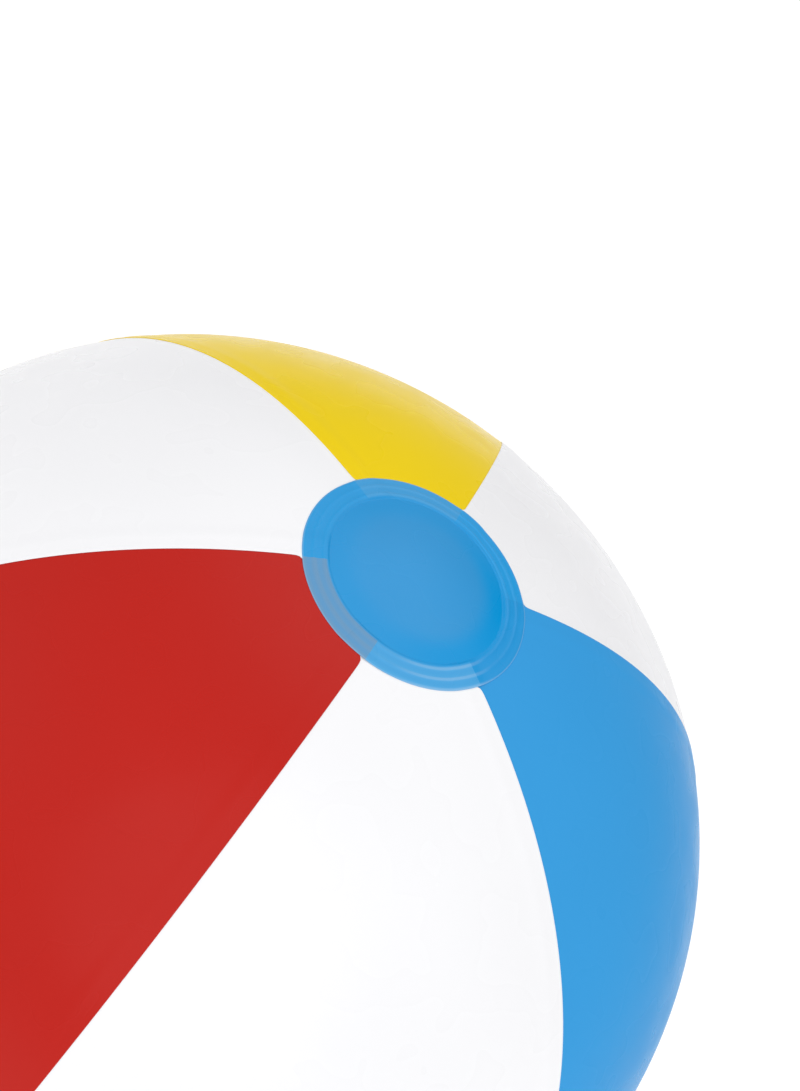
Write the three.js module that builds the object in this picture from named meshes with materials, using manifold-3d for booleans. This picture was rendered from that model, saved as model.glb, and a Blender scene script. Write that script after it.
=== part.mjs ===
// Inflatable beach ball: six vinyl panels lap-welded along their edges, a round cap welded over
// the panel ends at each pole, and a push-in air valve with a tethered plug and a check flap.
// Millimetres. The origin is the ball's centre, +Z is the polar axis and the valve faces -X.
// The ball is shown inflated and standing on its bottom cap.
import * as THREE from 'three';
import * as BufferGeometryUtils from 'three/addons/utils/BufferGeometryUtils.js';
import Module from 'manifold-3d';

const wasm = await Module();
wasm.setup();

// Ball and film
const BALL_RADIUS = 170; // inner face of the film at the equator
const POLE_FLATTENING = 0.06; // the caps hold the poles this fraction closer to the centre
const FILM = 0.25; // vinyl thickness
const WELD_GAP = 0.3; // clearance kept between two welded sheets
const SHEET_STEP = FILM + WELD_GAP;
const LAP_WIDTH = 5; // overlap of neighbouring panels
const LAP_RAMP = 2; // width over which a panel steps up onto its neighbour
const PANEL_DIVISIONS = 7; // facets across a panel between its two lap strips
const ROW_PITCH = 7.5; // degrees between two rows of facets

// Caps
const CAP_ANGLE = 13.1; // polar angle of a cap's edge, degrees
const PANEL_END_ANGLE = 10.5; // polar angle at which the panels end beneath the cap
const CAP_LIFT = 2 * SHEET_STEP; // the caps lie over the doubled laps
const CAP_RIDGE_HEIGHT = 0.35;
const CAP_SIDES = 40;
const CONTACT_RADIUS = 14; // flat patch that the ball's weight presses on the ground

// Valve, measured along its axis from the ball's centre and outward from that axis
const PANEL_HOLE_RADIUS = 9;
const VALVE_SIDES = 36;
const FLANGE_RADIUS = 17;
const FLANGE_BORE = 8.8;
const FLANGE_THICKNESS = 0.8;
const STEM_RADIUS = 5;
const STEM_BORE = 3.5;
const STEM_LENGTH = 14.5;
const RIM_RADIUS = 6.8;
const RIM_THICKNESS = 1.2;
const RIM_PROUD = 1; // the pushed-in rim stands this far above the film
const SLEEVE_WALL = 0.5;
const SLEEVE_MOUTH = 8.5;
const SLEEVE_WAIST = 7.2;
const PLUG_HEAD_RADIUS = 5.6;
const PLUG_HEAD_THICKNESS = 1.2;
const STRAP_WIDTH = 3;
const STRAP_THICKNESS = 0.5;
const STRAP_ROOT = 8.6; // height of the strap's bending line above the valve's axis
const LUG_REACH = 8.2;
const FLAP_RADIUS = 4.5;
const FLAP_THICKNESS = 0.5;
const FLAP_TAB = 5.2;

// Panels in order around the axis, each from one seam to the next, degrees from +X
const PANELS = [
  { name: 'blue_panel', from: -30, to: 31, colour: 0x3d9bd8 },
  { name: 'white_panel_blue_yellow', from: 31, to: 88.5, colour: 0xf1f2f3 },
  { name: 'yellow_panel', from: 88.5, to: 149, colour: 0xe9cc27 },
  { name: 'white_panel_valve', from: 149, to: 211, colour: 0xf1f2f3 },
  { name: 'red_panel', from: 211, to: 268.5, colour: 0xc02b25 },
  { name: 'white_panel_red_blue', from: 268.5, to: 330, colour: 0xf1f2f3 },
];
const VALVE_PANEL = 'white_panel_valve';

const radians = THREE.MathUtils.degToRad;
const degrees = THREE.MathUtils.radToDeg;

const cap = new THREE.MeshStandardMaterial({ color: 0x3f9dda, roughness: 0.22, metalness: 0 });
const clearVinyl = new THREE.MeshStandardMaterial({ color: 0xe4ecf0, roughness: 0.25, metalness: 0 });

// Keeps only positions, merges shared vertices and drops the empty triangles at a lathe's axis.
function closedGeometry(geometry) {
  const bare = geometry.clone();
  bare.deleteAttribute('normal');
  bare.deleteAttribute('uv');
  const merged = BufferGeometryUtils.mergeVertices(bare, 1e-4);
  const corners = merged.index.array;
  const kept = [];
  for (let i = 0; i < corners.length; i += 3) {
    const [a, b, c] = [corners[i], corners[i + 1], corners[i + 2]];
    if (a !== b && b !== c && c !== a) {
      kept.push(a, b, c);
    }
  }
  merged.setIndex(kept);
  return merged;
}

function toManifold(geometry) {
  const closed = closedGeometry(geometry);
  return new wasm.Manifold(new wasm.Mesh({
    numProp: 3,
    vertProperties: new Float32Array(closed.attributes.position.array),
    triVerts: new Uint32Array(closed.index.array),
  }));
}

function fromManifold(solid) {
  const mesh = solid.getMesh();
  const geometry = new THREE.BufferGeometry();
  geometry.setAttribute('position', new THREE.BufferAttribute(mesh.vertProperties, 3));
  geometry.setIndex(new THREE.BufferAttribute(mesh.triVerts, 1));
  return geometry;
}

function part(name, geometry, material) {
  const shaped = geometry.clone();
  shaped.computeVertexNormals();
  const mesh = new THREE.Mesh(shaped, material);
  mesh.name = name;
  return mesh;
}

// ---- The ball's skin ------------------------------------------------------------------------

// A point of the inflated skin in its meridian plane, lifted off the film's inner face along the
// normal: x is the distance from the polar axis and y the height.
function meridianPoint(polar, lift) {
  const sine = Math.sin(polar);
  const cosine = Math.cos(polar);
  const reach = BALL_RADIUS * (1 - POLE_FLATTENING * cosine ** 4);
  const slope = 4 * BALL_RADIUS * POLE_FLATTENING * cosine ** 3 * sine;
  const normal = new THREE.Vector2(
    reach * sine - slope * cosine,
    slope * sine + reach * cosine,
  ).normalize();
  return new THREE.Vector2(reach * sine, reach * cosine).addScaledVector(normal, lift);
}

function skinPoint(polar, azimuth, lift) {
  const flat = meridianPoint(polar, lift);
  return new THREE.Vector3(flat.x * Math.cos(azimuth), flat.x * Math.sin(azimuth), flat.y);
}

// Rows are mirrored about the equator, with a facet centred on it for the valve's flange.
function panelRows() {
  const north = [PANEL_END_ANGLE, CAP_ANGLE];
  for (let polar = 90 - 9.5 * ROW_PITCH; polar < 90; polar += ROW_PITCH) {
    north.push(polar);
  }
  const south = north.map((polar) => 180 - polar).reverse();
  return [...north, ...south].map(radians);
}

// Columns of one row: the first edge runs under the neighbour, the last steps up over the next.
function panelColumns(panel, polar) {
  const axisDistance = meridianPoint(polar, 0).x;
  const lap = degrees(LAP_WIDTH / axisDistance);
  const ramp = degrees(LAP_RAMP / axisDistance);
  const slack = degrees(WELD_GAP / axisDistance);
  const columns = [
    { azimuth: panel.from - lap, lift: 0 },
    { azimuth: panel.from, lift: 0 },
  ];
  const first = panel.from + lap + ramp;
  const last = panel.to - lap - ramp;
  for (let step = 0; step <= PANEL_DIVISIONS; step += 1) {
    columns.push({ azimuth: first + ((last - first) * step) / PANEL_DIVISIONS, lift: 0 });
  }
  columns.push({ azimuth: panel.to - lap - slack, lift: SHEET_STEP });
  columns.push({ azimuth: panel.to, lift: SHEET_STEP });
  return columns;
}

// A closed sheet one film thick over a grid of rows and columns.
function panelGeometry(panel) {
  const rows = panelRows();
  const grid = rows.map((polar) => panelColumns(panel, polar));
  const across = grid[0].length;
  const positions = [];
  for (const thickness of [0, FILM]) {
    rows.forEach((polar, i) => {
      for (const column of grid[i]) {
        positions.push(...skinPoint(polar, radians(column.azimuth), column.lift + thickness));
      }
    });
  }
  const inner = (i, j) => i * across + j;
  const outer = (i, j) => (rows.length + i) * across + j;
  const triangles = [];
  const quad = (a, b, c, d) => triangles.push(a, b, c, a, c, d);
  const lastRow = rows.length - 1;
  const lastColumn = across - 1;
  for (let i = 0; i < lastRow; i += 1) {
    for (let j = 0; j < lastColumn; j += 1) {
      quad(outer(i, j), outer(i + 1, j), outer(i + 1, j + 1), outer(i, j + 1));
      // the inner face repeats the outer face's diagonals, wound the other way
      triangles.push(inner(i, j), inner(i + 1, j + 1), inner(i + 1, j));
      triangles.push(inner(i, j), inner(i, j + 1), inner(i + 1, j + 1));
    }
    quad(inner(i, 0), inner(i + 1, 0), outer(i + 1, 0), outer(i, 0));
    quad(outer(i, lastColumn), outer(i + 1, lastColumn), inner(i + 1, lastColumn), inner(i, lastColumn));
  }
  for (let j = 0; j < lastColumn; j += 1) {
    quad(inner(0, j), outer(0, j), outer(0, j + 1), inner(0, j + 1));
    quad(outer(lastRow, j), inner(lastRow, j), inner(lastRow, j + 1), outer(lastRow, j + 1));
  }
  const geometry = new THREE.BufferGeometry();
  geometry.setAttribute('position', new THREE.Float32BufferAttribute(positions, 3));
  geometry.setIndex(triangles);
  return geometry;
}

// Cuts the round hole that the valve stands in.
function withValveHole(geometry) {
  const punch = new THREE.CylinderGeometry(PANEL_HOLE_RADIUS, PANEL_HOLE_RADIUS, 20, VALVE_SIDES);
  punch.rotateZ(Math.PI / 2);
  punch.translate(-BALL_RADIUS, 0, 0);
  return fromManifold(toManifold(geometry).subtract(toManifold(punch)));
}

function panels() {
  return PANELS.map((panel) => {
    const sheet = panelGeometry(panel);
    const geometry = panel.name === VALVE_PANEL ? withValveHole(sheet) : sheet;
    const film = new THREE.MeshStandardMaterial({ color: panel.colour, roughness: 0.3, metalness: 0 });
    return part(panel.name, geometry, film);
  });
}

// ---- Caps -----------------------------------------------------------------------------------

// Revolves a profile of (distance from the axis, height) about the polar axis.
function turnedAboutPole(profile) {
  const geometry = new THREE.LatheGeometry(profile, CAP_SIDES);
  geometry.rotateX(Math.PI / 2);
  return closedGeometry(geometry);
}

// The outer face carries two pressed ridges where the cap is welded to the panel ends.
const CAP_OUTER_FACE = [
  { share: 0.28, ridge: 0 },
  { share: 0.6, ridge: 0 },
  { share: 0.76, ridge: 0 },
  { share: 0.81, ridge: CAP_RIDGE_HEIGHT },
  { share: 0.86, ridge: 0 },
  { share: 0.91, ridge: CAP_RIDGE_HEIGHT },
  { share: 0.96, ridge: 0 },
  { share: 1, ridge: 0 },
];
const CAP_INNER_FACE = [0.28, 0.6, PANEL_END_ANGLE / CAP_ANGLE, 1];

function topCap() {
  const outer = CAP_OUTER_FACE.map(({ share, ridge }) => (
    meridianPoint(radians(share * CAP_ANGLE), CAP_LIFT + FILM + ridge)));
  const inner = CAP_INNER_FACE.map((share) => meridianPoint(radians(share * CAP_ANGLE), CAP_LIFT));
  const profile = [
    meridianPoint(0, CAP_LIFT),
    ...inner,
    ...outer.reverse(),
    meridianPoint(0, CAP_LIFT + FILM),
  ];
  return part('top_cap', turnedAboutPole(profile), cap);
}

// The bottom cap is the same piece upside down, pressed flat where it stands on the ground.
function bottomCap() {
  const contactAngle = Math.asin(CONTACT_RADIUS / (BALL_RADIUS * (1 - POLE_FLATTENING)));
  const contactShare = degrees(contactAngle) / CAP_ANGLE;
  const outerEdge = meridianPoint(contactAngle, CAP_LIFT + FILM);
  const floor = -outerEdge.y;
  const outer = CAP_OUTER_FACE.filter(({ share }) => share > contactShare).map(({ share, ridge }) => (
    meridianPoint(radians(share * CAP_ANGLE), CAP_LIFT + FILM + ridge)));
  const inner = CAP_INNER_FACE.filter((share) => share > contactShare).map((share) => (
    meridianPoint(radians(share * CAP_ANGLE), CAP_LIFT)));
  const below = (point) => new THREE.Vector2(point.x, -point.y);
  const profile = [
    new THREE.Vector2(0, floor),
    new THREE.Vector2(outerEdge.x, floor),
    ...outer.map(below),
    ...inner.reverse().map(below),
    new THREE.Vector2(outerEdge.x, floor + FILM),
    new THREE.Vector2(0, floor + FILM),
  ];
  return part('bottom_cap', turnedAboutPole(profile), cap);
}

// ---- Valve ----------------------------------------------------------------------------------

// Revolves a profile of (distance from the valve's axis, distance from the ball's centre).
function turnedAboutValve(profile) {
  const geometry = new THREE.LatheGeometry(profile.map(([x, y]) => new THREE.Vector2(x, y)), VALVE_SIDES);
  geometry.rotateZ(Math.PI / 2);
  return closedGeometry(geometry);
}

// Extrudes an outline drawn in (Y, Z) outward along the valve's axis.
function plateAcrossValve(shape, from, thickness, curveSegments = 12) {
  const geometry = new THREE.ExtrudeGeometry(shape, { depth: thickness, bevelEnabled: false, curveSegments });
  const placed = new THREE.Matrix4().makeBasis(
    new THREE.Vector3(0, -1, 0),
    new THREE.Vector3(0, 0, 1),
    new THREE.Vector3(-1, 0, 0),
  );
  geometry.applyMatrix4(placed);
  geometry.translate(-from, 0, 0);
  return closedGeometry(geometry);
}

// The middle facet of the valve panel, which the hole is cut in, is flat.
const equatorRow = radians(90 - ROW_PITCH / 2);
const valvePanel = PANELS.find((panel) => panel.name === VALVE_PANEL);
const middleColumn = panelColumns(valvePanel, equatorRow)[2 + Math.floor(PANEL_DIVISIONS / 2)];
const filmInside = -skinPoint(equatorRow, radians(middleColumn.azimuth), 0).x;
const rimTop = filmInside + FILM + RIM_PROUD;
const rimUnder = rimTop - RIM_THICKNESS;
const stemEnd = rimTop - STEM_LENGTH;

// A dished ring welded to the inside of the panel around the hole.
function valveFlange() {
  const outerBall = filmInside - WELD_GAP;
  const innerBall = outerBall - FLANGE_THICKNESS;
  const radii = [FLANGE_BORE, (FLANGE_BORE + FLANGE_RADIUS) / 2, FLANGE_RADIUS];
  const inner = radii.map((radius) => [radius, Math.sqrt(innerBall ** 2 - radius ** 2)]);
  const outer = radii.map((radius) => [radius, Math.sqrt(outerBall ** 2 - radius ** 2)]);
  const profile = [...inner, ...outer.reverse(), inner[0]];
  return part('valve_flange', turnedAboutValve(profile), clearVinyl);
}

// A soft cup that lets the stem be pushed in: it turns inside out when the stem is pulled.
function valveSleeve() {
  const mouth = filmInside - WELD_GAP - 0.4;
  const base = stemEnd + 1;
  const hub = STEM_RADIUS + WELD_GAP;
  const profile = [
    [hub, base],
    [SLEEVE_WAIST, base],
    [SLEEVE_MOUTH, mouth],
    [SLEEVE_MOUTH - SLEEVE_WALL, mouth],
    [SLEEVE_WAIST - SLEEVE_WALL, base + SLEEVE_WALL],
    [hub, base + SLEEVE_WALL],
    [hub, base],
  ];
  return part('valve_sleeve', turnedAboutValve(profile), clearVinyl);
}

// The mouthpiece: a tube with a rim, and a lug on the rim that the plug's strap grows from.
function valveStem() {
  const tube = turnedAboutValve([
    [STEM_BORE, stemEnd],
    [STEM_RADIUS, stemEnd],
    [STEM_RADIUS, rimUnder],
    [RIM_RADIUS, rimUnder],
    [RIM_RADIUS, rimTop - 0.3],
    [RIM_RADIUS - 0.3, rimTop],
    [STEM_BORE, rimTop],
    [STEM_BORE, stemEnd],
  ]);
  const lugFoot = STEM_RADIUS + 0.5;
  const lug = new THREE.BoxGeometry(RIM_THICKNESS, STRAP_WIDTH, LUG_REACH - lugFoot);
  lug.translate(-(rimUnder + rimTop) / 2, 0, (LUG_REACH + lugFoot) / 2);
  return part('valve_stem', fromManifold(toManifold(tube).add(toManifold(lug))), clearVinyl);
}

// The shank tapers so that it swings clear of the bore about the strap's root.
function valvePlug() {
  const headUnder = rimTop + WELD_GAP;
  const headTop = headUnder + PLUG_HEAD_THICKNESS;
  const shankRadius = STEM_BORE - WELD_GAP;
  const profile = [
    [0, headUnder - 5],
    [1.9, headUnder - 5],
    [2.6, headUnder - 4],
    [2.95, headUnder - 3],
    [shankRadius, headUnder - 1.8],
    [shankRadius, headUnder],
    [PLUG_HEAD_RADIUS, headUnder],
    [PLUG_HEAD_RADIUS, headTop - 0.4],
    [PLUG_HEAD_RADIUS - 0.5, headTop],
    [0, headTop],
  ];
  return part('valve_plug', turnedAboutValve(profile), clearVinyl);
}

function plugStrap() {
  const start = PLUG_HEAD_RADIUS + WELD_GAP;
  const half = STRAP_WIDTH / 2;
  const band = new THREE.Shape();
  band.moveTo(-half, start);
  band.lineTo(half, start);
  band.lineTo(half, STRAP_ROOT);
  band.lineTo(-half, STRAP_ROOT);
  band.closePath();
  const geometry = plateAcrossValve(band, rimTop + WELD_GAP, STRAP_THICKNESS);
  return part('plug_strap', geometry, clearVinyl);
}

// A disc over the stem's inner end, hung from a tab at its top: the ball's own air shuts it.
function checkFlap() {
  const half = STRAP_WIDTH / 2;
  const shoulder = Math.acos(half / FLAP_RADIUS);
  const outline = new THREE.Shape();
  outline.moveTo(-half, FLAP_TAB);
  outline.absarc(0, 0, FLAP_RADIUS, Math.PI - shoulder, 2 * Math.PI + shoulder, false);
  outline.lineTo(half, FLAP_TAB);
  outline.closePath();
  const outerFace = stemEnd - WELD_GAP;
  const geometry = plateAcrossValve(outline, outerFace - FLAP_THICKNESS, FLAP_THICKNESS, 32);
  return part('check_flap', geometry, clearVinyl);
}

const beachBall = new THREE.Group();
beachBall.name = 'beach_ball';
beachBall.add(...panels(), topCap(), bottomCap());
beachBall.add(valveFlange(), valveSleeve(), valveStem(), valvePlug(), plugStrap(), checkFlap());

export default beachBall;
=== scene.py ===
"""Inflatable beach ball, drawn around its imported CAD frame.

Six vinyl panels lap-welded edge over edge, a round cap welded over their ends at each pole, and
a push-in air valve. Metres, in the CAD's frame: origin at the ball's centre, +Z through the caps,
valve facing -X. Each CAD sheet is replaced by a finer mesh of the same sheet.
"""
import math

import bpy
from mathutils import Matrix, Vector


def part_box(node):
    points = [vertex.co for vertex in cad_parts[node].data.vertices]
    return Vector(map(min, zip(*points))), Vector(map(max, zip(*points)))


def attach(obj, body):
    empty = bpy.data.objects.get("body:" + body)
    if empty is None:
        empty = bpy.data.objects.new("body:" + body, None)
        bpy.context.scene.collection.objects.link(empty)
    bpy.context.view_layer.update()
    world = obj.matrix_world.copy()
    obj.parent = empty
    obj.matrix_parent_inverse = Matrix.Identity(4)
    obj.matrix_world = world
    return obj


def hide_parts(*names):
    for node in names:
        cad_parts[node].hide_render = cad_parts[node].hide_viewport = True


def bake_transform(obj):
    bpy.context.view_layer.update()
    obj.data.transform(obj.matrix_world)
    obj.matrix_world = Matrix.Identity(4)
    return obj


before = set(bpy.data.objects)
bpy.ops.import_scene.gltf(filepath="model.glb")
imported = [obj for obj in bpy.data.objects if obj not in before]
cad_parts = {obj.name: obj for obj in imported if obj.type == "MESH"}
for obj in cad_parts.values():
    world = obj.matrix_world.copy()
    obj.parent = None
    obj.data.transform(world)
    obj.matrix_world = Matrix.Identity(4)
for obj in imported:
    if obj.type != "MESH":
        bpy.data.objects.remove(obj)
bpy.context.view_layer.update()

MM = 0.001

# ---- Sizes -------------------------------------------------------------------------------------

BALL_RADIUS = 170 * MM  # inner face of the film at the equator
POLE_FLATTENING = 0.06
FILM = 0.25 * MM
SKIN_GAP = 0.02 * MM  # air left between two welded sheets
SEAM_RISE = 0.001  # the panels lie this share of the radius inside a round ball between seams
CAP_ANGLE = math.radians(13.1)
PANEL_END_ANGLE = math.radians(10.5)
LAP_WIDTH = 5 * MM
LAP_RAMP = 5 * MM
CORNER_RADIUS = 1.1 * MM  # the colours' corners at a cap's edge are rounded
CORNER_FADE = 0.6 * CORNER_RADIUS  # how fast a corner's rounding dies away from the cap

FLOOR_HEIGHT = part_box("bottom_cap")[0][2]

# Panels in order: name, slot, its two seams in degrees from +X, and corner, which is +1 where its
# upper edge spreads over its neighbour at the caps and -1 where it draws back.
PANEL_FIELDS = ("name", "slot", "from", "to", "corner")
PANELS = [dict(zip(PANEL_FIELDS, values)) for values in (
    ("blue_panel", "blue_vinyl", -30.0, 31.0, 1),
    ("white_panel_blue_yellow", "white_vinyl", 31.0, 88.5, 1),
    ("yellow_panel", "yellow_vinyl", 88.5, 149.0, -1),
    ("white_panel_valve", "white_vinyl", 149.0, 211.0, 1),
    ("red_panel", "red_vinyl", 211.0, 268.5, -1),
    ("white_panel_red_blue", "white_vinyl", 268.5, 330.0, -1),
)]

COLOURS = {
    "red_vinyl": (187, 33, 25),
    "yellow_vinyl": (242, 210, 8),
    "blue_vinyl": (59, 156, 220),
    "white_vinyl": (244, 244, 246),
    "cap_vinyl": (51, 152, 215),
}
CAP_PAINTED_SHADE = (12, 147, 213)  # painted shade: the cap's middle turns a deeper blue towards its weld, most on one side
CAP_PAINTED_HIGHLIGHT = (176, 208, 234)  # painted highlights: the cut edge and the ridges on one side are paler
CLEAR_COLOURS = (232, 239, 241), (243, 247, 248)
FLOOR_COLOURS = (247, 247, 248), (250, 250, 251)

# Strength of the gloss, as an index of refraction
GLOSS = {
    "red_vinyl": 1.22,
    "yellow_vinyl": 1.2,
    "blue_vinyl": 1.08,
    "white_vinyl": 1.25,
    "cap_vinyl": 1.25,
}

# The cap's colour over the end of each panel, which shows faintly through it, with a painted
# highlight in the paler one over white_panel_red_blue
CAP_OVER_ENDS_AND_HIGHLIGHT = {
    "blue_panel": (42, 149, 213),
    "white_panel_blue_yellow": (44, 156, 220),
    "yellow_panel": (70, 158, 214),
    "white_panel_valve": (43, 153, 216),
    "red_panel": (103, 150, 189),
    # paler than the other white ends: a painted highlight
    "white_panel_red_blue": (77, 163, 218),
}


def smoothstep(value):
    value = min(max(value, 0.0), 1.0)
    return value * value * (3 - 2 * value)


def bump(value, centre, width):
    """A smooth hill, one high, round centre."""
    return math.exp(-(((value - centre) / width) ** 2))


# ---- The inflated skin --------------------------------------------------------------------------


def meridian(polar, lift):
    """(distance from the axis, height) of a point lifted off the film's inner face."""
    sine, cosine = math.sin(polar), math.cos(polar)
    reach = BALL_RADIUS * (1 - POLE_FLATTENING * cosine ** 4)
    slope = 4 * BALL_RADIUS * POLE_FLATTENING * cosine ** 3 * sine
    normal = Vector((reach * sine - slope * cosine, slope * sine + reach * cosine)).normalized()
    return Vector((reach * sine, reach * cosine)) + normal * lift


def skin(polar, azimuth, lift):
    flat = meridian(polar, lift)
    return Vector((flat.x * math.cos(azimuth), flat.x * math.sin(azimuth), flat.y))


def seam_sag(polar, azimuth):
    """How far the film lies inside the round ball: nothing at a seam, most between two seams."""
    degrees = (math.degrees(azimuth) - PANELS[0]["from"]) % 360 + PANELS[0]["from"]
    panel = next(p for p in PANELS if p["from"] <= degrees <= p["to"])
    across = (2 * degrees - panel["from"] - panel["to"]) / (panel["to"] - panel["from"])
    return SEAM_RISE * BALL_RADIUS * (1 - across * across) * math.sin(polar) ** 2


def ball_point(polar, azimuth, lift):
    return skin(polar, azimuth, lift - seam_sag(polar, azimuth))


# ---- Meshes -------------------------------------------------------------------------------------

SUBDIVISION = 1


def new_piece(name, points, faces, body, replaced, material):
    """A smooth mesh in place of CAD nodes. body is None for a piece that is left unattached to any
    body.
    """
    mesh = bpy.data.meshes.new(name)
    mesh.from_pydata([tuple(p) for p in points], [], faces)
    mesh.polygons.foreach_set("use_smooth", [True] * len(mesh.polygons))
    mesh.update()
    piece = bpy.data.objects.new(name, mesh)
    bpy.context.scene.collection.objects.link(piece)
    mesh.materials.append(material)
    smooth = piece.modifiers.new("smooth", "SUBSURF")
    smooth.levels = SUBDIVISION
    smooth.render_levels = SUBDIVISION
    if body:
        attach(piece, body)
    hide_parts(*replaced)
    return piece


def sheet_faces(rows, columns, missing=lambda i, j: False):
    """Faces of a closed sheet whose points are an inner grid followed by an outer one."""
    def inner(i, j):
        return i * columns + j

    def outer(i, j):
        return (rows + i) * columns + j

    faces = []
    for i in range(rows - 1):
        for j in range(columns - 1):
            if missing(i, j):
                continue
            faces.append((outer(i, j), outer(i + 1, j), outer(i + 1, j + 1), outer(i, j + 1)))
            faces.append((inner(i, j), inner(i, j + 1), inner(i + 1, j + 1), inner(i + 1, j)))
    # walls along every edge that only one cell uses
    cells = {(i, j) for i in range(rows - 1) for j in range(columns - 1) if not missing(i, j)}
    for i, j in cells:
        below, beside = i + 1, j + 1
        if (i - 1, j) not in cells:
            faces.append((inner(i, j), outer(i, j), outer(i, beside), inner(i, beside)))
        if (below, j) not in cells:
            faces.append((outer(below, j), inner(below, j),
                          inner(below, beside), outer(below, beside)))
        if (i, j - 1) not in cells:
            faces.append((inner(i, j), inner(below, j), outer(below, j), outer(i, j)))
        if (i, beside) not in cells:
            faces.append((outer(i, beside), outer(below, beside),
                          inner(below, beside), inner(i, beside)))
    return faces


def band_faces(one, two, count):
    """Faces between two closed rings of count points that start at indices one and two."""
    ring = [(k, (k + 1) % count) for k in range(count)]
    return [(one + k, two + k, two + after, one + after) for k, after in ring]


def disc_faces(rings, count):
    """Faces of a closed disc: an under layer and then an upper one, each of so many rings of
    count points, from the middle out, and last its centre."""
    layer = rings * count + 1
    faces = []
    for first, turn in ((0, -1), (layer, 1)):
        centre = first + layer - 1
        faces += [(centre, first + k, first + (k + 1) % count)[::turn] for k in range(count)]
        for i in range(rings - 1):
            near, far = first + i * count, first + (i + 1) * count
            faces += [face[::turn] for face in band_faces(near, far, count)]
    rim = (rings - 1) * count
    return faces + band_faces(layer + rim, rim, count)


def without_loose_points(points, faces):
    used = sorted({corner for face in faces for corner in face})
    place = {old: new for new, old in enumerate(used)}
    return [points[i] for i in used], [tuple(place[c] for c in face) for face in faces]


# ---- Panels -------------------------------------------------------------------------------------

ROW_STEP = 2.4  # degrees of latitude between a panel's rows of points
PANEL_DIVISIONS = 24
END_RIM = 0.002  # radians from a panel's end to the row next to it
CORNER_REACH = 3.0  # mm in from a panel's upper edge, where its rounded corner is no longer felt

# Millimetres in from a panel's upper edge, the lift as a share of the full lap, and the thickness
# as a share of the film: a thin rim, the pressed weld, and the ramp down to the ball
LAP_PROFILE = [
    (0.0, 1.0, 0.45),
    (0.12, 1.0, 0.8),
    (0.4, 1.0, 1.0),
    (0.8, 1.0, 1.0),
    (1.3, 1.0, 0.86),
    (2.5, 1.0, 0.84),
    (3.7, 1.0, 0.86),
    (4.3, 1.0, 1.0),
    (5.1, 1.0, 1.0),
    (6.2, 0.8, 1.0),
    (7.4, 0.4, 1.0),
    (8.6, 0.1, 1.0),
    (9.6, 0.0, 1.0),
]
# Millimetres from a panel's lower seam, negative under its neighbour's lap, and the thickness
# as a share of the film
HIDDEN_EDGE = [(-5.0, 0.6), (-4.6, 1.0), (-2.5, 1.0)]
# Degrees from a cap's edge to the rows next to it, close enough for the rounded corners
ROWS_PAST_CAP = [0.0, 0.04, 0.09, 0.16, 0.26, 0.4, 0.6, 0.9, 1.3, 1.8, 2.5]


def panel_rows(step):
    """Polar angles from end to end, close together at the caps' edges, mirrored at the equator."""
    count = round((90 - math.degrees(CAP_ANGLE) - ROWS_PAST_CAP[-1]) / step)
    start = CAP_ANGLE + math.radians(ROWS_PAST_CAP[-1])
    pitch = (math.pi / 2 - start) / count
    north = [PANEL_END_ANGLE, PANEL_END_ANGLE + END_RIM, (PANEL_END_ANGLE + CAP_ANGLE) / 2]
    north += [CAP_ANGLE + math.radians(angle) for angle in ROWS_PAST_CAP]
    north += [start + pitch * i for i in range(1, count)]
    return north + [math.pi / 2] + [math.pi - polar for polar in reversed(north)]


def panel_columns(panel, polar, divisions):
    """(azimuth, lift, thickness) across one row."""
    from_edge, to_edge = math.radians(panel["from"]), math.radians(panel["to"])
    distance = meridian(polar, 0).x
    cap_gap = BALL_RADIUS * (min(polar, math.pi - polar) - CAP_ANGLE)
    spread = panel["corner"] * CORNER_RADIUS * math.exp(-max(cap_gap, 0) / CORNER_FADE)
    lap_lift = FILM + SKIN_GAP
    columns = []
    for across, share in HIDDEN_EDGE:
        columns.append((from_edge + across * MM / distance, 0.0, share * FILM))
    columns.append((from_edge, 0.0, FILM))
    margin = (LAP_WIDTH + LAP_RAMP) / distance
    first, last = from_edge + margin, to_edge - margin
    for step in range(divisions + 1):
        columns.append((first + (last - first) * step / divisions, 0.0, FILM))
    for inward, rise, share in reversed(LAP_PROFILE):
        follow = max(0.0, 1 - inward / CORNER_REACH)
        azimuth = to_edge - (inward * MM - spread * follow) / distance
        columns.append((azimuth, rise * lap_lift, share * FILM))
    return columns


def panel_piece(panel, material):
    rows = panel_rows(ROW_STEP)
    grid = [panel_columns(panel, polar, PANEL_DIVISIONS) for polar in rows]
    points = []
    for outer in (0, 1):
        for polar, row in zip(rows, grid):
            for azimuth, lift, thickness in row:
                points.append(ball_point(polar, azimuth, lift + outer * thickness))
    faces = sheet_faces(len(rows), len(grid[0]))
    return new_piece("film_" + panel["name"], points, faces, "ball", [panel["name"]],
                     material)


# The valve stands in a round hole at the middle of its panel. The grid's cells round the valve are
# left out, and the points about them are drawn onto the hole's circle.
HOLE_RADIUS = 9 * MM
HOLE_FINENESS = 2  # this panel's rows and columns are so many times closer
HOLE_CELLS = 2  # half the width of the block of cells left out
HOLE_REACH = 3.2  # the grid is unchanged past this many half blocks

# The film over the flange, in mm: how far it rises, where and over what width it comes back down,
# and its weld ring's groove
FLANGE_RISE, FLANGE_FOOT, FLANGE_SLOPE = 0.25, 18.5, 2.0
WELD_DEPTH, WELD_RADIUS, WELD_WIDTH = 0.14, 13.5, 1.6


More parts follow.
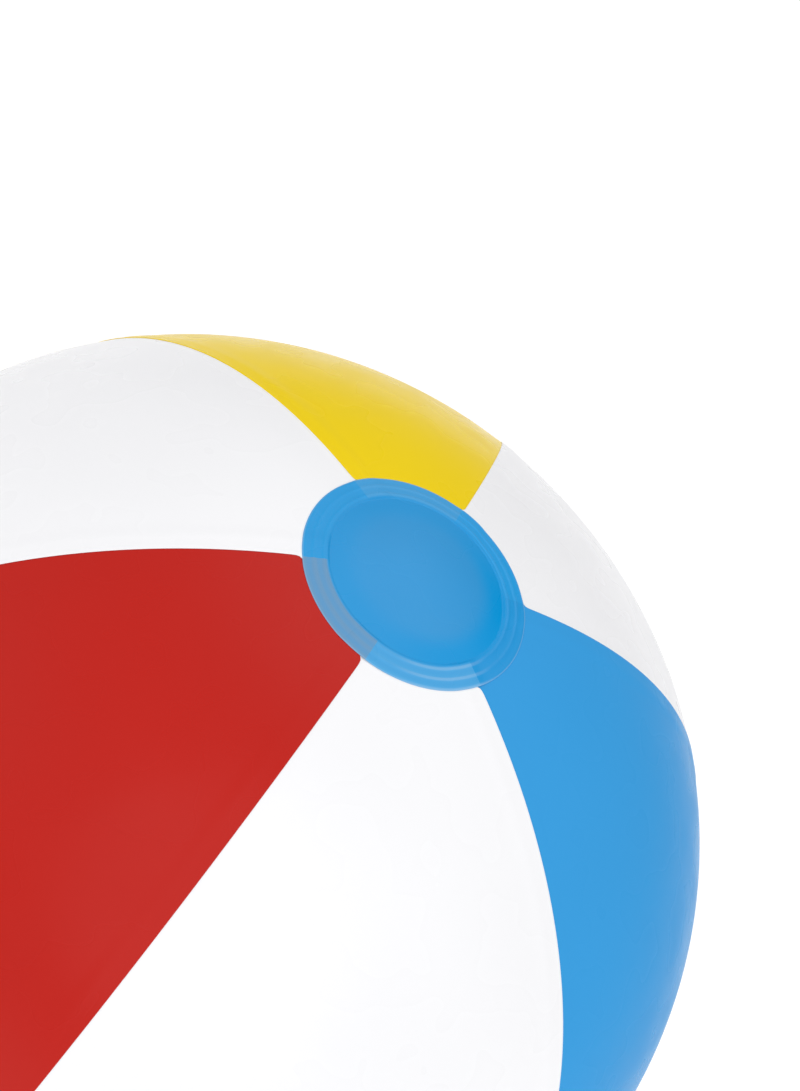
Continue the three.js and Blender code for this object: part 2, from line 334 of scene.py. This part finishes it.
def drawn_to_hole(polar, azimuth, half_block):
    """(polar, azimuth) moved so that the edge of the missing block becomes the hole's circle."""
    across = BALL_RADIUS * (azimuth - math.pi)
    up = BALL_RADIUS * (math.pi / 2 - polar)
    blocks = max(abs(across) / half_block[0], abs(up) / half_block[1])
    left_out = blocks < 0.99
    if left_out or blocks > HOLE_REACH:
        return polar, azimuth
    distance = math.hypot(across, up)
    keep = smoothstep((blocks - 1) / (HOLE_REACH - 1))
    target = (1 - keep) * HOLE_RADIUS * blocks + keep * distance
    across *= target / distance
    up *= target / distance
    return math.pi / 2 - up / BALL_RADIUS, math.pi + across / BALL_RADIUS


def flange_print(polar, azimuth):
    """How far the film rises over the flange, less the groove of its weld ring."""
    across = BALL_RADIUS * (azimuth - math.pi)
    up = BALL_RADIUS * (math.pi / 2 - polar)
    distance = math.hypot(across, up) / MM
    rise = FLANGE_RISE * smoothstep((FLANGE_FOOT - distance) / FLANGE_SLOPE)
    return (rise - WELD_DEPTH * bump(distance, WELD_RADIUS, WELD_WIDTH)) * MM


def valve_panel_piece(panel, material):
    rows = panel_rows(ROW_STEP / HOLE_FINENESS)
    divisions = PANEL_DIVISIONS * HOLE_FINENESS
    edge_columns = len(HIDDEN_EDGE) + 1
    grid = [panel_columns(panel, polar, divisions) for polar in rows]
    columns = len(grid[0])
    mid_row, mid_column = len(rows) // 2, edge_columns + divisions // 2
    half_block = (
        BALL_RADIUS * (grid[mid_row][mid_column + HOLE_CELLS][0] - math.pi),
        BALL_RADIUS * (rows[mid_row + HOLE_CELLS] - math.pi / 2),
    )
    points = []
    for outer in (0, 1):
        for polar, row in zip(rows, grid):
            for azimuth, lift, thickness in row:
                moved = drawn_to_hole(polar, azimuth, half_block)
                total = lift + outer * thickness + flange_print(*moved)
                points.append(ball_point(*moved, total))

    def in_hole(i, j):
        low, high = -HOLE_CELLS, HOLE_CELLS
        return low <= i - mid_row < high and low <= j - mid_column < high

    faces = sheet_faces(len(rows), columns, in_hole)
    points, faces = without_loose_points(points, faces)
    return new_piece("film_" + panel["name"], points, faces, "ball", [panel["name"]],
                     material)


# ---- Caps ---------------------------------------------------------------------------------------

# A share is a distance from a cap's middle as a part of the whole cap.
CAP_SEGMENTS = 144
CAP_BULGE = 1.43 * MM  # the cap's free middle swells inside its weld ring
CAP_RIM_SHARE = 0.02  # the cap thins towards its edge over this share
CAP_RIM_THICKNESS = 0.35  # what is left at the edge, as a share of the film
FLOOR_SOFTNESS = 0.08 * MM  # how softly the bottom cap leaves the floor
PANEL_END_SHARE = PANEL_END_ANGLE / CAP_ANGLE
PANEL_END_LEAD = 0.035  # the cap starts to climb onto the panels' ends this far short of them
PANEL_END_RAMP = 0.03  # and is up after this share
CAP_RIDGES = [  # share, height in mm, half width as a share
    (0.825, 0.14, 0.012),
    (0.91, 0.12, 0.012),
    (0.972, 0.05, 0.01),
]
LAP_REACH = (-2.5, 9.5)  # mm in from the seam where the cap lies on the doubled film
LAP_SHOULDERS = (2.5, 3.5)  # mm over which it climbs onto it and comes down


def lap_under_cap(azimuth, distance):
    """1 where the cap lies on a doubled seam, 0 between seams, with soft shoulders."""
    start, end = LAP_REACH
    up, down = LAP_SHOULDERS
    for panel in PANELS:
        past = (math.degrees(azimuth) - panel["to"] + 180) % 360 - 180
        along = -math.radians(past) * distance / MM  # how far this point is short of the seam
        if start < along < end:
            return smoothstep((along - start) / up) * smoothstep((end - along) / down)
    return 0.0


def cap_lift(share, azimuth):
    """Height of a cap's inner face over the inner face of the panels."""
    if share <= 0:
        return CAP_BULGE
    distance = meridian(share * CAP_ANGLE, 0).x
    on_panels = smoothstep((share - PANEL_END_SHARE + PANEL_END_LEAD) / PANEL_END_RAMP)
    over = FILM + 2 * SKIN_GAP + lap_under_cap(azimuth, distance) * (FILM + SKIN_GAP)
    swell = CAP_BULGE * max(0.0, 1 - (share / PANEL_END_SHARE) ** 2)
    ridges = sum(height * MM * bump(share, centre, width) for centre, height, width in CAP_RIDGES)
    return max(on_panels * over, swell) + ridges


def cap_shares():
    """Rings of points from the middle out, close together over the ridges and at the rim."""
    shares = [0.06, 0.14, 0.24, 0.34, 0.44, 0.54, 0.62, 0.69, 0.73, 0.755]
    shares += [0.77 + 0.0075 * i for i in range(29)]
    return shares + [0.985, 0.992, 1.0]


def cap_piece(name, sign, material):
    """sign is 1 for the cap at the top and -1 for the one that the ball stands on."""
    shares = cap_shares()
    points = []
    for outer in (0, 1):
        for share in shares:
            rim = min(1.0, CAP_RIM_THICKNESS + (1 - share) / CAP_RIM_SHARE)
            for k in range(CAP_SEGMENTS):
                azimuth = 2 * math.pi * k / CAP_SEGMENTS
                lift = cap_lift(share, azimuth) + outer * FILM * rim
                point = ball_point(share * CAP_ANGLE, azimuth, lift)
                points.append(Vector((point.x, point.y, sign * point.z)))
        middle = meridian(0, cap_lift(0, 0) + outer * FILM)
        points.append(Vector((0, 0, sign * middle.y)))
    if sign < 0:
        pressed_flat(points)
    faces = disc_faces(len(shares), CAP_SEGMENTS)
    if sign < 0:
        faces = [face[::-1] for face in faces]
    return new_piece("film_" + name, points, faces, "ball", [name], material)


def pressed_flat(points):
    """The ball's weight presses the bottom cap against the floor, with a soft edge to the patch."""
    half = len(points) // 2
    for i, point in enumerate(points):
        ground = FLOOR_HEIGHT + (0 if i >= half else FILM)
        over = point.z - ground
        point.z = ground + (over + math.sqrt(over * over + FLOOR_SOFTNESS * FLOOR_SOFTNESS)) / 2


# ---- Valve --------------------------------------------------------------------------------------

VALVE_SEGMENTS = 64


def valve_point(radius, angle, outward):
    """A point at an angle round the valve's axis, measured from +Y towards +Z."""
    return Vector((-outward, radius * math.cos(angle), radius * math.sin(angle)))


def turned(name, profile, body, replaced, material, closed=True):
    """Revolves (distance from the valve's axis, distance from the ball's centre), in mm."""
    points, rings = [], []
    for radius, outward in profile:
        if radius == 0:
            rings.append([len(points)] * VALVE_SEGMENTS)
            points.append(valve_point(0, 0, outward * MM))
            continue
        rings.append([len(points) + k for k in range(VALVE_SEGMENTS)])
        for k in range(VALVE_SEGMENTS):
            points.append(valve_point(radius * MM, 2 * math.pi * k / VALVE_SEGMENTS, outward * MM))
    pairs = list(zip(rings, rings[1:]))
    if closed:
        pairs.append((rings[-1], rings[0]))
    faces = []
    for one, two in pairs:
        for k in range(VALVE_SEGMENTS):
            after = (k + 1) % VALVE_SEGMENTS
            corners = (one[k], one[after], two[after], two[k])
            face = tuple(dict.fromkeys(corners))
            if len(face) > 2:
                faces.append(face)
    return new_piece(name, points, faces, body, replaced, material)


# The valve in mm: places along its axis from the ball's centre, heights and radii from its axis
FILM_AT_VALVE = (BALL_RADIUS - seam_sag(math.pi / 2, math.pi)) / MM  # the film's inner face
RIM_TOP = -(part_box("valve_stem")[0][0]) / MM
STEM_END = -(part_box("valve_stem")[1][0]) / MM
STEM_BORE = 3.5
STEM_RADIUS = 5.0
RIM_RADIUS = 6.8
HEAD_UNDER = -(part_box("plug_strap")[1][0]) / MM
HEAD_RADIUS = 5.6
HEAD_THICKNESS = 1.2
STRAP_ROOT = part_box("plug_strap")[1][2] / MM
STRAP_HALF_WIDTH = 1.5
FLAP_OUT = -(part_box("check_flap")[0][0]) / MM
FLAP_IN = -(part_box("check_flap")[1][0]) / MM
FLAP_RADIUS = 4.5
TAB_REACH, TAB_WIDTH = 0.7, 0.32  # the flap's tab: mm past its disc, and radians round it
FLANGE_RADII = [8.25, 8.4, 9.2, 11.0, 13.0, 15.0, 16.4, 16.9, 17.0]
FLANGE_DEPTHS = (0.85, 0.02)  # its two faces under the film's inner face
FLANGE_EDGE_DEPTHS = (0.65, 0.2)  # the same at its rounded edges
SLEEVE_WALL = 0.5
SLEEVE_TOP_RADIUS = 8.3
SLEEVE_CURVE, SLEEVE_TAPER = 2.6, 0.35  # how far it narrows in an S, and evenly
SLEEVE_STEPS = 14
STRAP_STEPS = 20
STRAP_ARCH = 0.12


def flange_piece(material):
    """A dished ring under the film round the hole."""
    edges = (FLANGE_RADII[0], FLANGE_RADII[-1])
    under, over = [
        [(radius, edge if radius in edges else depth) for radius in FLANGE_RADII]
        for depth, edge in zip(FLANGE_DEPTHS, FLANGE_EDGE_DEPTHS)
    ]
    profile = under + over[::-1]
    points, faces = [], []
    for radius, depth in profile:
        for k in range(VALVE_SEGMENTS):
            angle = 2 * math.pi * k / VALVE_SEGMENTS
            azimuth = math.pi - radius * MM * math.cos(angle) / BALL_RADIUS
            polar = math.pi / 2 - radius * MM * math.sin(angle) / BALL_RADIUS
            points.append(ball_point(polar, azimuth, flange_print(polar, azimuth) - depth * MM))
    for i in range(len(profile)):
        after = (i + 1) % len(profile)
        faces += band_faces(i * VALVE_SEGMENTS, after * VALVE_SEGMENTS, VALVE_SEGMENTS)
    return new_piece("moulded_flange", points, faces, "ball", ["valve_flange"],
                     material)


def sleeve_piece(material):
    """The web between flange and stem. On the real valve it turns inside out as the stem is pulled.
    """
    mouth, base = FILM_AT_VALVE - 0.55, STEM_END + 1.2
    wall, foot_radius = SLEEVE_WALL, STEM_RADIUS + 0.15
    outside = [(SLEEVE_TOP_RADIUS + 0.2, mouth)]
    for i in range(1, SLEEVE_STEPS + 1):
        along = i / SLEEVE_STEPS
        radius = SLEEVE_TOP_RADIUS - SLEEVE_CURVE * smoothstep(along * 0.9) - SLEEVE_TAPER * along
        outside.append((radius, mouth - 0.5 - (mouth - base - 0.5) * along))
    inside = [(radius - wall * 0.85, outward + wall * 0.35) for radius, outward in outside]
    profile = outside + [(foot_radius, base - 0.1), (foot_radius, base + wall)] + inside[::-1]
    sleeve = turned("moulded_sleeve", profile, None, ["valve_sleeve"], material)
    return sleeve, mouth, base


def stem_piece(material):
    """A tube with a rim, from its inner end, up the outside, and down its bore."""
    profile = [
        (STEM_BORE, STEM_END + 0.2), (STEM_BORE + 0.2, STEM_END),
        (STEM_RADIUS - 0.25, STEM_END), (STEM_RADIUS, STEM_END + 0.25),
        (STEM_RADIUS, STEM_END + 5), (STEM_RADIUS, RIM_TOP - 2.0),
        (STEM_RADIUS + 0.25, RIM_TOP - 1.35), (RIM_RADIUS - 0.35, RIM_TOP - 1.2),
        (RIM_RADIUS, RIM_TOP - 0.95), (RIM_RADIUS, RIM_TOP - 0.35),
        (RIM_RADIUS - 0.3, RIM_TOP), (RIM_RADIUS - 0.9, RIM_TOP),
        (RIM_RADIUS - 1.2, RIM_TOP - 0.12), (STEM_BORE + 0.9, RIM_TOP - 0.12),
        (STEM_BORE + 0.45, RIM_TOP - 0.05), (STEM_BORE, RIM_TOP - 0.5),
        (STEM_BORE, RIM_TOP - 4), (STEM_BORE, STEM_END + 5),
    ]
    return turned("moulded_stem", profile[::-1], "stem", ["valve_stem"], material)


def plug_piece(material):
    """A rounded pin under a flat head with a shallow dish in its top."""
    top = HEAD_UNDER + HEAD_THICKNESS
    pin = [  # radius, distance under the head
        (0, 5), (1.4, 4.95), (1.85, 4.7), (2.5, 4),
        (2.9, 3), (3.15, 1.8), (3.2, 0.5), (3.3, 0.05),
    ]
    profile = [(radius, HEAD_UNDER - below) for radius, below in pin] + [
        (HEAD_RADIUS - 0.25, HEAD_UNDER), (HEAD_RADIUS, HEAD_UNDER + 0.25),
        (HEAD_RADIUS, top - 0.35), (HEAD_RADIUS - 0.3, top - 0.05),
        (HEAD_RADIUS - 0.9, top), (HEAD_RADIUS - 1.3, top - 0.1),
        (HEAD_RADIUS - 1.6, top - 0.35), (HEAD_RADIUS - 2.3, top - 0.42),
        (1.2, top - 0.42), (0, top - 0.42),
    ]
    return turned("moulded_plug", profile[::-1], "plug", ["valve_plug"], material, closed=False)


def loft(name, sections, body, replaced, material):
    """A closed band through sections of equal length."""
    points = [point for section in sections for point in section]
    count = len(sections[0])
    faces = [tuple(reversed(range(count)))]
    for i in range(len(sections) - 1):
        for k in range(count):
            after = (k + 1) % count
            one, two = i * count, (i + 1) * count
            faces.append((one + k, one + after, two + after, two + k))
    faces.append(tuple(range(len(points) - count, len(points))))
    return new_piece(name, points, faces, body, replaced, material)


def strap_piece(material):
    """The strap from the rim's lug, over its bending line, to the plug's head."""
    start, end = STRAP_ROOT + 0.55, HEAD_RADIUS - 0.35
    sections = []
    for i in range(STRAP_STEPS + 1):
        along = i / STRAP_STEPS
        height = start + (end - start) * along
        arch = STRAP_ARCH * math.sin(math.pi * along)
        low = HEAD_UNDER - 0.12 + arch + 0.14 * along
        high = HEAD_UNDER + 0.45 + arch + 0.1 * along
        waist = STRAP_HALF_WIDTH - 0.35 * bump(height, STRAP_ROOT, 0.5)
        sections.append([
            Vector((-out, across, height)) * MM
            for across, out in (
                (-waist, low + 0.1), (-waist + 0.15, low),
                (waist - 0.15, low), (waist, low + 0.1),
                (waist, high - 0.12), (waist - 0.2, high),
                (-waist + 0.2, high), (-waist, high - 0.12),
            )
        ])
    return loft("moulded_strap", sections[::-1], None, ["plug_strap"], material)


def lug_piece(material):
    """The lug on the rim that the strap grows from."""
    half, foot, tip = STRAP_HALF_WIDTH, STEM_RADIUS + 0.9, STRAP_ROOT + 0.6
    sections = []
    for height in (foot, foot + 1, foot + 2, tip - 0.25, tip):
        tuck = 0.2 if height == tip else 0.0
        low, high = RIM_TOP - 0.95 + tuck, RIM_TOP + 0.18 - tuck
        sections.append([
            Vector((-out, across, height)) * MM
            for across, out in (
                (-half + tuck, low + 0.15), (-half + 0.2, low),
                (half - 0.2, low), (half - tuck, low + 0.15),
                (half - tuck, high - 0.15), (half - 0.2, high),
                (-half + 0.2, high), (-half + tuck, high - 0.15),
            )
        ])
    return loft("moulded_lug", sections, "stem", ["valve_stem"], material)


def flap_piece(material):
    """A thin disc with a tab at its top, that the hinge runs through."""
    rings = [0.25, 0.5, 0.75, 0.93, 1.0]
    points = []
    for outward in (FLAP_IN * MM, FLAP_OUT * MM):
        for share in rings:
            for k in range(VALVE_SEGMENTS):
                angle = 2 * math.pi * k / VALVE_SEGMENTS
                reach = FLAP_RADIUS + TAB_REACH * bump(angle, math.pi / 2, TAB_WIDTH)
                points.append(valve_point(reach * share * MM, angle, outward))
        points.append(valve_point(0, 0, outward))
    # seen from outside, a valve angle runs clockwise
    faces = [face[::-1] for face in disc_faces(len(rings), VALVE_SEGMENTS)]
    return new_piece("moulded_flap", points, faces, "flap", ["check_flap"],
                     material)


# ---- Materials ----------------------------------------------------------------------------------


def linear(rgb):
    """An 8-bit sRGB colour as Blender's linear one."""
    def one(value):
        value /= 255
        return value / 12.92 if value <= 0.04045 else ((value + 0.055) / 1.055) ** 2.4

    return (*[one(value) for value in rgb], 1.0)


class Nodes:
    """A short way to write a material's node tree."""

    def __init__(self, name):
        self.material = bpy.data.materials.new(name)
        self.material.use_nodes = True
        self.tree = self.material.node_tree
        self.tree.nodes.clear()
        output = self.add("ShaderNodeOutputMaterial")
        self.shader = self.add("ShaderNodeBsdfPrincipled")
        self.link(self.shader.outputs[0], output.inputs["Surface"])
        self.place = self.add("ShaderNodeTexCoord").outputs["Object"]

    def add(self, kind, **settings):
        node = self.tree.nodes.new(kind)
        for key, value in settings.items():
            setattr(node, key, value)
        return node

    def link(self, source, target):
        self.tree.links.new(source, target)

    def set(self, **values):
        for key, value in values.items():
            self.shader.inputs[key.replace("_", " ")].default_value = value

    def noise(self, scale, detail):
        node = self.add("ShaderNodeTexNoise")
        node.inputs["Scale"].default_value = scale
        node.inputs["Detail"].default_value = detail
        self.link(self.place, node.inputs["Vector"])
        return node.outputs["Fac"]

    def math(self, operation, *values):
        node = self.add("ShaderNodeMath", operation=operation)
        for socket, value in zip(node.inputs, values):
            if isinstance(value, (int, float)):
                socket.default_value = value
            else:
                self.link(value, socket)
        return node.outputs[0]

    def spread(self, value, low, high, to_low=0.0, to_high=1.0):
        """Maps low..high onto to_low..to_high with soft ends."""
        node = self.add("ShaderNodeMapRange", interpolation_type="SMOOTHSTEP")
        limits = {"From Min": low, "From Max": high, "To Min": to_low, "To Max": to_high}
        for name, number in limits.items():
            node.inputs[name].default_value = number
        self.link(value, node.inputs["Value"])
        return node.outputs["Result"]

    def mix(self, factor, one, two):
        node = self.add("ShaderNodeMix", data_type="RGBA")
        self.link(factor, node.inputs["Factor"])
        for socket, value in ((node.inputs["A"], one), (node.inputs["B"], two)):
            if isinstance(value, tuple):
                socket.default_value = value
            else:
                self.link(value, socket)
        return node.outputs["Result"]

    def bumps(self, height, distance):
        """Makes the surface uneven, so many metres deep."""
        node = self.add("ShaderNodeBump")
        node.inputs["Distance"].default_value = distance
        self.link(height, node.inputs["Height"])
        self.link(node.outputs["Normal"], self.shader.inputs["Normal"])


# Least and most roughness, and depth of the surface's unevenness in metres
FILM_ROUGHNESS, FILM_WAVINESS = (0.22, 0.34), 0.0003
CLEAR_ROUGHNESS, CLEAR_GRAIN = (0.2, 0.32), 0.00002

# Ranges of a noise's values that a look is spread over
SOFT_NOISE, FILM_NOISE, CRISP_NOISE = (0.1, 0.9), (0.15, 0.85), (0.3, 0.7)

# The cap's looks, by share of its radius and by degrees round its axis
BAND_START = (PANEL_END_SHARE - 0.01, PANEL_END_SHARE + 0.015)  # the panels' ends show past this
BAND_SHOWS = (0.74, 1)  # how much of them shows between the ridges and on them
PAINTED_SHADE_SHARES = (0.5, 0.7)  # painted shade deepens the middle's blue between these
# the painted shade is strongest on this side, in degrees round the axis
PAINTED_SHADE_SIDE = 0
RIDGE_HIGHLIGHT_SIDE = 312  # the painted highlight on the ridges is strongest here
RIM_HIGHLIGHT_SHARES = (0.986, 0.998)  # a painted highlight along the cut edge rises between these
# how far the painted highlights go towards their pale colour
PAINTED_HIGHLIGHT_AMOUNT = 0.22


def darker(rgb, share):
    return tuple(value * share for value in rgb)


def film_surface(nodes, colour, gloss):
    """The gloss and faint waviness that every sheet of vinyl shares."""
    nodes.link(colour, nodes.shader.inputs["Base Color"])
    roughness = nodes.spread(nodes.noise(55, 1), *FILM_NOISE, *FILM_ROUGHNESS)
    nodes.link(roughness, nodes.shader.inputs["Roughness"])
    nodes.bumps(nodes.noise(22, 0), FILM_WAVINESS)
    nodes.set(IOR=gloss)


def vinyl(slot_name):
    nodes = Nodes(slot_name)
    base = COLOURS[slot_name]
    cloudy = nodes.mix(nodes.spread(nodes.noise(14, 1), *SOFT_NOISE),
                       linear(darker(base, 0.98)), linear(base))
    film_surface(nodes, cloudy, GLOSS[slot_name])
    return nodes.material


def direction_cosine(nodes, x, y, distance, degrees):
    """Cosine of the angle round the axis between a point and a direction."""
    along_x = nodes.math("MULTIPLY", x, math.cos(math.radians(degrees)))
    along_y = nodes.math("MULTIPLY", y, math.sin(math.radians(degrees)))
    return nodes.math("DIVIDE", nodes.math("ADD", along_x, along_y), distance)


def panel_ends_under_cap(nodes, x, y):
    """The cap's colour over each panel's end, round the axis, with a painted highlight over one
    white end.
    """
    turn = nodes.math("DIVIDE", nodes.math("ARCTAN2", y, x), 2 * math.pi)
    around = nodes.math("FRACT", nodes.math("ADD", turn, 1 - PANELS[0]["from"] / 360))
    under = nodes.add("ShaderNodeValToRGB")
    under.color_ramp.interpolation = "CONSTANT"
    stops = under.color_ramp.elements
    for i, panel in enumerate(PANELS):
        start = (panel["from"] - PANELS[0]["from"]) / 360
        stop = stops[i] if i < 2 else stops.new(start)
        stop.position = start
        stop.color = linear(CAP_OVER_ENDS_AND_HIGHLIGHT[panel["name"]])
    nodes.link(around, under.inputs["Fac"])
    return under.outputs["Color"]


def cap_middle(nodes, x, y, distance, share):
    """The cap's own blue, with painted shade that deepens it towards its weld and most so on one
    side.
    """
    base = COLOURS["cap_vinyl"]
    plain = nodes.mix(nodes.spread(nodes.noise(26, 1), *SOFT_NOISE),
                      linear(darker(base, 0.96)), linear(base))
    # painted shade: a deeper blue towards the weld, strongest on one side
    facing = direction_cosine(nodes, x, y, distance, PAINTED_SHADE_SIDE)
    painted_shade_side = nodes.spread(facing, -0.2, 0.95, 0.4, 1)
    painted_shade_ring = nodes.spread(share, *PAINTED_SHADE_SHARES)
    return nodes.mix(nodes.math("MULTIPLY", painted_shade_ring, painted_shade_side), plain, linear(CAP_PAINTED_SHADE))


def cap_vinyl():
    """Blue film. The coloured panel ends show through its welded band, with painted shade and
    painted highlights over it.
    """
    nodes = Nodes("cap_vinyl")
    axes = nodes.add("ShaderNodeSeparateXYZ")
    nodes.link(nodes.place, axes.inputs[0])
    x, y = axes.outputs["X"], axes.outputs["Y"]
    under = panel_ends_under_cap(nodes, x, y)
    distance = nodes.math("SQRT", nodes.math("ADD", nodes.math("MULTIPLY", x, x),
                                             nodes.math("MULTIPLY", y, y)))
    share = nodes.math("DIVIDE", distance, meridian(CAP_ANGLE, 0).x)
    band = nodes.spread(share, *BAND_START)
    first, second = CAP_RIDGES[0][0], CAP_RIDGES[1][0]
    wave = nodes.math("COSINE", nodes.math("MULTIPLY", nodes.math("SUBTRACT", share, first),
                                           2 * math.pi / (second - first)))
    pressed = nodes.spread(wave, -1, 1, *BAND_SHOWS)
    middle = cap_middle(nodes, x, y, distance, share)
    colour = nodes.mix(nodes.math("MULTIPLY", band, pressed), middle, under)
    # painted highlight: the ridges are paler on one side
    ridge_highlight_facing = direction_cosine(nodes, x, y, distance, RIDGE_HIGHLIGHT_SIDE)
    ridge_highlight = nodes.math("MULTIPLY", nodes.spread(ridge_highlight_facing, 0.85, 1, 0, PAINTED_HIGHLIGHT_AMOUNT),
                      nodes.spread(wave, 0.2, 1))
    colour = nodes.mix(nodes.math("MULTIPLY", band, ridge_highlight), colour, linear(CAP_PAINTED_HIGHLIGHT))
    # painted highlight along the cap's cut edge
    colour = nodes.mix(nodes.spread(share, *RIM_HIGHLIGHT_SHARES, 0, PAINTED_HIGHLIGHT_AMOUNT), colour, linear(CAP_PAINTED_HIGHLIGHT))
    film_surface(nodes, colour, GLOSS["cap_vinyl"])
    return nodes.material


def clear_vinyl():
    """Milky clear moulding of the valve."""
    nodes = Nodes("clear_vinyl")
    colour = nodes.mix(nodes.spread(nodes.noise(260, 3), *CRISP_NOISE),
                       *[linear(rgb) for rgb in CLEAR_COLOURS])
    nodes.link(colour, nodes.shader.inputs["Base Color"])
    roughness = nodes.spread(nodes.noise(420, 2), *CRISP_NOISE, *CLEAR_ROUGHNESS)
    nodes.link(roughness, nodes.shader.inputs["Roughness"])
    nodes.bumps(nodes.noise(800, 2), CLEAR_GRAIN)
    nodes.set(IOR=1.5, Transmission_Weight=0.15)
    return nodes.material


def floor_material():
    """Nearly white, with a faint glow of its own."""
    nodes = Nodes("studio_floor")
    colour = nodes.mix(nodes.noise(3, 2), *[linear(rgb) for rgb in FLOOR_COLOURS])
    nodes.link(colour, nodes.shader.inputs["Base Color"])
    nodes.set(Roughness=0.9, Specular_IOR_Level=0.1)
    nodes.set(Emission_Color=(1, 1, 1, 1), Emission_Strength=FLOOR_GLOW)
    return nodes.material


# ---- Building -----------------------------------------------------------------------------------


def build_ball():
    films = {name: vinyl(name) for name in COLOURS if name != "cap_vinyl"}
    for panel in PANELS:
        make = valve_panel_piece if panel["name"] == "white_panel_valve" else panel_piece
        make(panel, films[panel["slot"]])
    cap = cap_vinyl()
    cap_piece("top_cap", 1, cap)
    cap_piece("bottom_cap", -1, cap)


def build_valve():
    clear = clear_vinyl()
    flange_piece(clear)
    sleeve, mouth, base = sleeve_piece(clear)
    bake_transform(sleeve)
    stem_piece(clear)
    lug_piece(clear)
    plug_piece(clear)
    strap = strap_piece(clear)
    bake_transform(strap)
    flap_piece(clear)


# ---- Studio -------------------------------------------------------------------------------------

VISUAL_RADIUS = 170.4 * MM
CAMERA_AZIMUTH = -6.04  # where the camera stands round the ball
CAMERA_ELEVATION = 53.89
CAMERA_DISTANCE = 4.107 * VISUAL_RADIUS
AIM_AZIMUTH = -4.62  # which way it looks back from, since the ball isn't at the picture's middle
AIM_ELEVATION = 44.22
CAMERA_ROLL = 39.95
LENS = 66.0
KEY_DIRECTION = (15, 45)  # azimuth and elevation
KEY_DISTANCE, KEY_SIZE, KEY_WATTS = 2.6, 3.2, 23.0
FLOOR_REACH = 6.0
FLOOR_GLOW = 0.16


def direction(azimuth, elevation):
    """Unit vector towards a place round the ball; azimuth 0 is -Y and 90 is +X."""
    a, e = math.radians(azimuth), math.radians(elevation)
    return Vector((math.sin(a) * math.cos(e), -math.cos(a) * math.cos(e), math.sin(e)))


def camera_axes():
    """The camera's right, up and back directions."""
    back = direction(AIM_AZIMUTH, AIM_ELEVATION)
    level_right = (-back).cross(Vector((0, 0, 1))).normalized()
    level_up = level_right.cross(-back)
    roll = math.radians(CAMERA_ROLL)
    right = math.cos(roll) * level_right + math.sin(roll) * level_up
    return right, back.cross(right), back


def make_camera():
    right, up, back = camera_axes()
    data = bpy.data.cameras.new("camera")
    data.lens = LENS
    data.sensor_width = 36
    data.clip_start = 0.01
    data.clip_end = 50
    camera = bpy.data.objects.new("camera", data)
    bpy.context.scene.collection.objects.link(camera)
    turn = Matrix((right, up, back)).transposed().to_4x4()
    camera.matrix_world = Matrix.Translation(
        direction(CAMERA_AZIMUTH, CAMERA_ELEVATION) * CAMERA_DISTANCE) @ turn
    bpy.context.scene.camera = camera


def make_key_light():
    """A large soft box in front of the ball, a little to the camera's right."""
    data = bpy.data.lights.new("key", "AREA")
    data.shape = "DISK"
    data.size = KEY_SIZE
    data.energy = KEY_WATTS
    key = bpy.data.objects.new("key", data)
    bpy.context.scene.collection.objects.link(key)
    towards = direction(*KEY_DIRECTION)
    key.location = towards * KEY_DISTANCE
    key.rotation_euler = towards.to_track_quat("Z", "Y").to_euler()


# Soft patches on the white walls round the ball: direction, radii in degrees, added brightness
WALL_LIGHT = 0.74
WALL_PATCHES = [
    {"azimuth": 176, "elevation": 58, "inner": 4, "outer": 34, "gain": 1.1},
    {"azimuth": 153, "elevation": 31, "inner": 6, "outer": 20, "gain": -0.7},
    {"azimuth": -66, "elevation": 24, "inner": 4, "outer": 30, "gain": 0.3},
    {"azimuth": 175, "elevation": 0, "inner": 20, "outer": 60, "gain": -0.3},
]


def make_walls():
    """The light from the white room: even, with a few soft patches that the film mirrors."""
    world = bpy.data.worlds.new("studio")
    world.use_nodes = True
    tree = world.node_tree
    sky = tree.nodes["Background"]
    sky.inputs["Color"].default_value = (1, 1, 1, 1)
    look = tree.nodes.new("ShaderNodeTexCoord").outputs["Generated"]
    total = None
    for patch in WALL_PATCHES:
        facing = tree.nodes.new("ShaderNodeVectorMath")
        facing.operation = "DOT_PRODUCT"
        facing.inputs[1].default_value = direction(patch["azimuth"], patch["elevation"])
        tree.links.new(look, facing.inputs[0])
        soft = tree.nodes.new("ShaderNodeMapRange")
        soft.interpolation_type = "SMOOTHSTEP"
        soft.inputs["From Min"].default_value = math.cos(math.radians(patch["outer"]))
        soft.inputs["From Max"].default_value = math.cos(math.radians(patch["inner"]))
        soft.inputs["To Max"].default_value = patch["gain"]
        tree.links.new(facing.outputs["Value"], soft.inputs["Value"])
        gathered = tree.nodes.new("ShaderNodeMath")
        gathered.operation = "ADD"
        gathered.inputs[0].default_value = WALL_LIGHT
        if total is not None:
            tree.links.new(total, gathered.inputs[0])
        tree.links.new(soft.outputs["Result"], gathered.inputs[1])
        total = gathered.outputs[0]
    tree.links.new(total, sky.inputs["Strength"])
    bpy.context.scene.world = world


def make_floor():
    height = FLOOR_HEIGHT - 0.1 * MM
    corners = [(x * FLOOR_REACH, y * FLOOR_REACH, height)
               for x, y in ((-1, -1), (1, -1), (1, 1), (-1, 1))]
    mesh = bpy.data.meshes.new("studio_floor")
    mesh.from_pydata(corners, [], [(0, 1, 2, 3)])
    mesh.materials.append(floor_material())
    floor = bpy.data.objects.new("studio_floor", mesh)
    bpy.context.scene.collection.objects.link(floor)


def make_studio():
    make_floor()
    make_key_light()
    make_walls()
    bpy.context.scene.view_settings.view_transform = "Standard"


make_camera()
build_ball()
build_valve()
make_studio()
